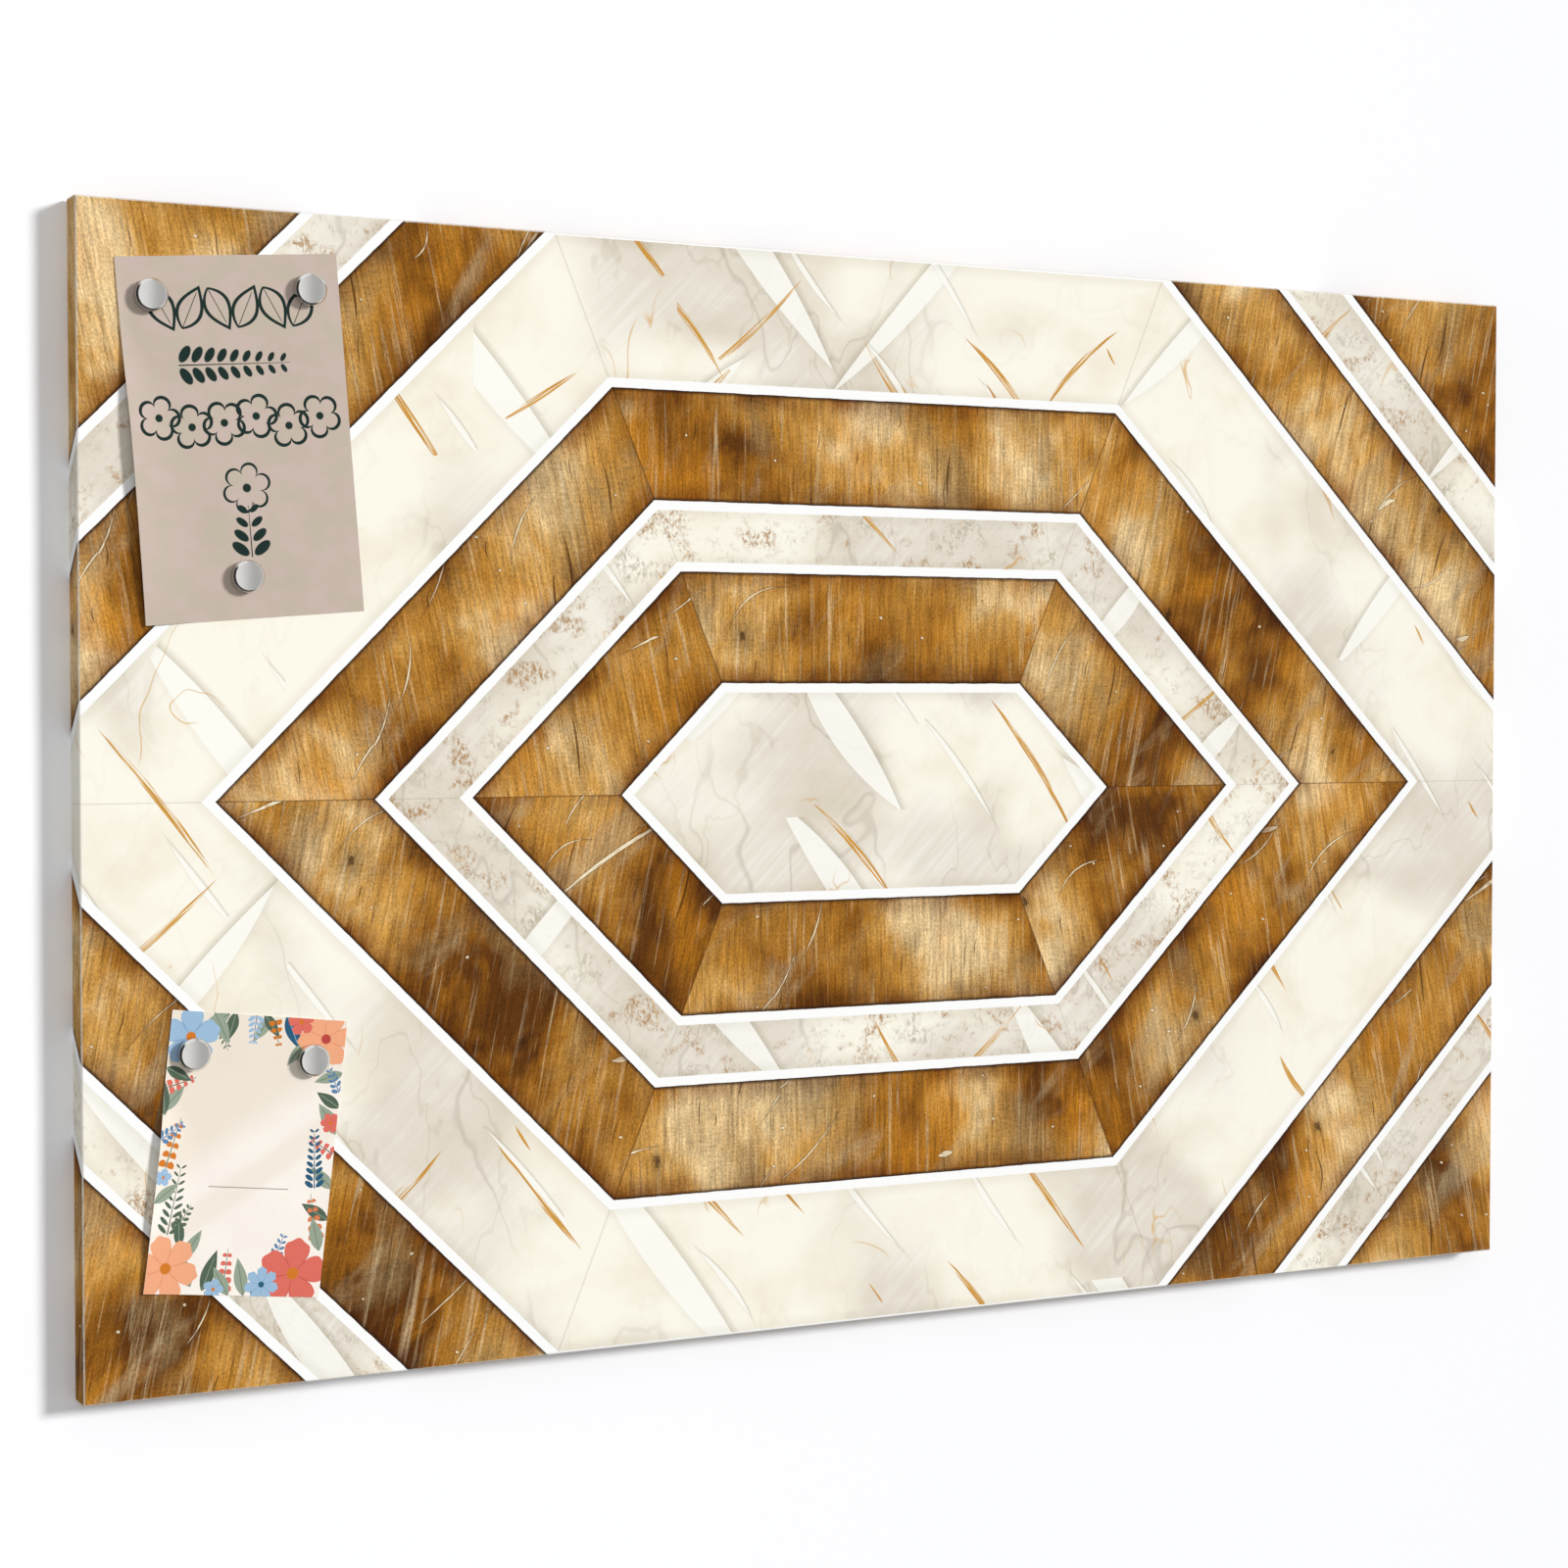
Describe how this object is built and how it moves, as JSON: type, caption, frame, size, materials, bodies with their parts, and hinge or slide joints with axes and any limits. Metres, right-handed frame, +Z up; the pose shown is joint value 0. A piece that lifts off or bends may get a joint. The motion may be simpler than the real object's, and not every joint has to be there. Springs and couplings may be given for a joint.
{
  "type": "magnetic wall board",
  "caption": "Landscape magnetic wall board: printed film over a folded steel tray, keyhole hangers behind, paper cards held on its front by round magnets.",
  "frame": {"origin": "middle of the back panel's rear face, which lies in the plane of the wall", "axes": "+X to the right along the board's width as seen from the front, +Z up, +Y into the wall, so the front faces -Y"},
  "size_m": [0.9, 0.0234, 0.6],
  "materials": {
    "print": "satin printed film, wood and pale stone inlay pattern",
    "coated_steel": "smooth off-white coating",
    "pine": "planed, uncoated",
    "core_card": "plain card",
    "hardboard": "smooth brown fibreboard",
    "zinc_steel": "zinc plated",
    "satin_steel": "turned and polished, satin",
    "nickel": "nickel plated",
    "note_paper": "matt taupe card stock",
    "invite_paper": "matt cream card stock"
  },
  "bodies": {
    "board": {"print_film": "print", "steel_tray": "coated_steel", "top_rail": "pine", "bottom_rail": "pine", "left_rail": "pine", "right_rail": "pine", "middle_rail": "pine", "left_core": "core_card", "right_core": "core_card", "back_panel": "hardboard", "panel_screw_1": "zinc_steel", "panel_screw_2": "zinc_steel", "panel_screw_3": "zinc_steel", "panel_screw_4": "zinc_steel", "panel_screw_5": "zinc_steel", "panel_screw_6": "zinc_steel", "panel_screw_7": "zinc_steel", "panel_screw_8": "zinc_steel", "panel_screw_9": "zinc_steel", "panel_screw_10": "zinc_steel", "panel_screw_11": "zinc_steel", "panel_screw_12": "zinc_steel", "left_hanger": "zinc_steel", "left_hanger_screw_1": "zinc_steel", "left_hanger_screw_2": "zinc_steel", "right_hanger": "zinc_steel", "right_hanger_screw_1": "zinc_steel", "right_hanger_screw_2": "zinc_steel"},
    "upper_card": {"note_card": "note_paper"},
    "lower_card": {"invite_card": "invite_paper"},
    "magnet_1": {"magnet_1_cap": "satin_steel", "magnet_1_disc": "nickel"},
    "magnet_2": {"magnet_2_cap": "satin_steel", "magnet_2_disc": "nickel"},
    "magnet_3": {"magnet_3_cap": "satin_steel", "magnet_3_disc": "nickel"},
    "magnet_4": {"magnet_4_cap": "satin_steel", "magnet_4_disc": "nickel"},
    "magnet_5": {"magnet_5_cap": "satin_steel", "magnet_5_disc": "nickel"}
  },
  "joints": [
    {"name": "upper_card_off", "type": "slide", "parent": "board", "child": "upper_card", "axis": [0, -1, 0], "range_m": [0, 0.04]},
    {"name": "lower_card_off", "type": "slide", "parent": "board", "child": "lower_card", "axis": [0, -1, 0], "range_m": [0, 0.04]},
    {"name": "magnet_1_off", "type": "slide", "parent": "upper_card", "child": "magnet_1", "axis": [0, -1, 0], "range_m": [0, 0.03]},
    {"name": "magnet_2_off", "type": "slide", "parent": "upper_card", "child": "magnet_2", "axis": [0, -1, 0], "range_m": [0, 0.03]},
    {"name": "magnet_3_off", "type": "slide", "parent": "upper_card", "child": "magnet_3", "axis": [0, -1, 0], "range_m": [0, 0.03]},
    {"name": "magnet_4_off", "type": "slide", "parent": "lower_card", "child": "magnet_4", "axis": [0, -1, 0], "range_m": [0, 0.03]},
    {"name": "magnet_5_off", "type": "slide", "parent": "lower_card", "child": "magnet_5", "axis": [0, -1, 0], "range_m": [0, 0.03]}
  ]
}
